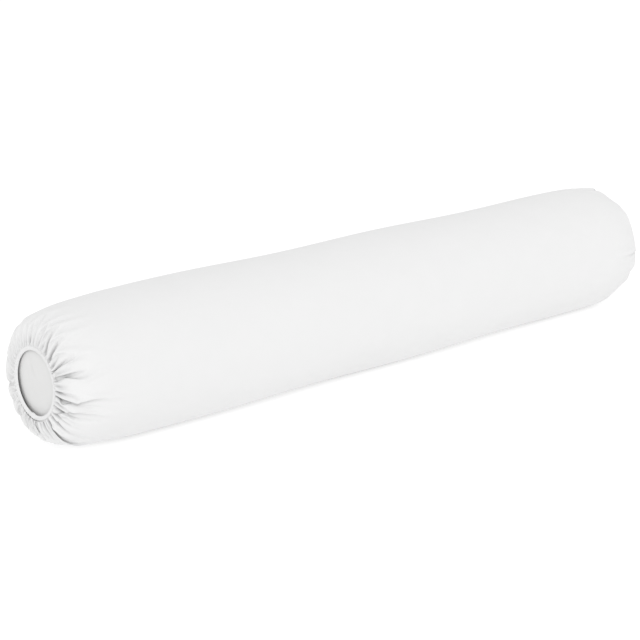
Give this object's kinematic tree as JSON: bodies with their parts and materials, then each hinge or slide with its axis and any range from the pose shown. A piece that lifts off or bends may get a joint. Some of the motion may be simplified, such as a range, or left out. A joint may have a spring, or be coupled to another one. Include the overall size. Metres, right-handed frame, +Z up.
{
  "type": "bolster pillow",
  "caption": "Long round bolster pillow: a fibre-filled insert in a pull-on cover whose ends are gathered on elastic around a round opening.",
  "frame": {"origin": "on the floor, under the middle of the bolster, at the middle of its flat underside", "axes": "+X along the bolster from the front gathered end to the rear one, +Z up, +Y to the left when looking along +X"},
  "size_m": [1.1008, 0.2, 0.194],
  "materials": {
    "cover_knit": "matte",
    "elastic_cord": "matte",
    "sewing_thread": "satin",
    "casing_ticking": "matte",
    "polyester_wadding": "matte",
    "polyester_fibre": "matte"
  },
  "bodies": {
    "insert": {"casing_tube": "casing_ticking", "front_end_disc": "casing_ticking", "rear_end_disc": "casing_ticking", "casing_long_seam": "casing_ticking", "casing_seam_thread": "sewing_thread", "closing_stitches": "sewing_thread", "front_end_seam": "casing_ticking", "front_end_seam_thread": "sewing_thread", "rear_end_seam": "casing_ticking", "rear_end_seam_thread": "sewing_thread", "wadding_wrap": "polyester_wadding", "fibre_core": "polyester_fibre"},
    "cover": {"cover_sleeve": "cover_knit", "front_gathered_end": "cover_knit", "rear_gathered_end": "cover_knit", "cover_long_seam": "cover_knit", "cover_seam_thread": "sewing_thread", "front_hem": "cover_knit", "front_elastic": "elastic_cord", "front_elastic_joint": "elastic_cord", "front_hem_stitching": "sewing_thread", "rear_hem": "cover_knit", "rear_elastic": "elastic_cord", "rear_elastic_joint": "elastic_cord", "rear_hem_stitching": "sewing_thread"}
  },
  "joints": [
    {"name": "cover_pull_off", "type": "slide", "parent": "insert", "child": "cover", "axis": [1, 0, 0], "range_m": [0, 1.12], "deforming": ["front_gathered_end", "front_hem", "front_elastic", "front_elastic_joint", "front_hem_stitching"]}
  ]
}
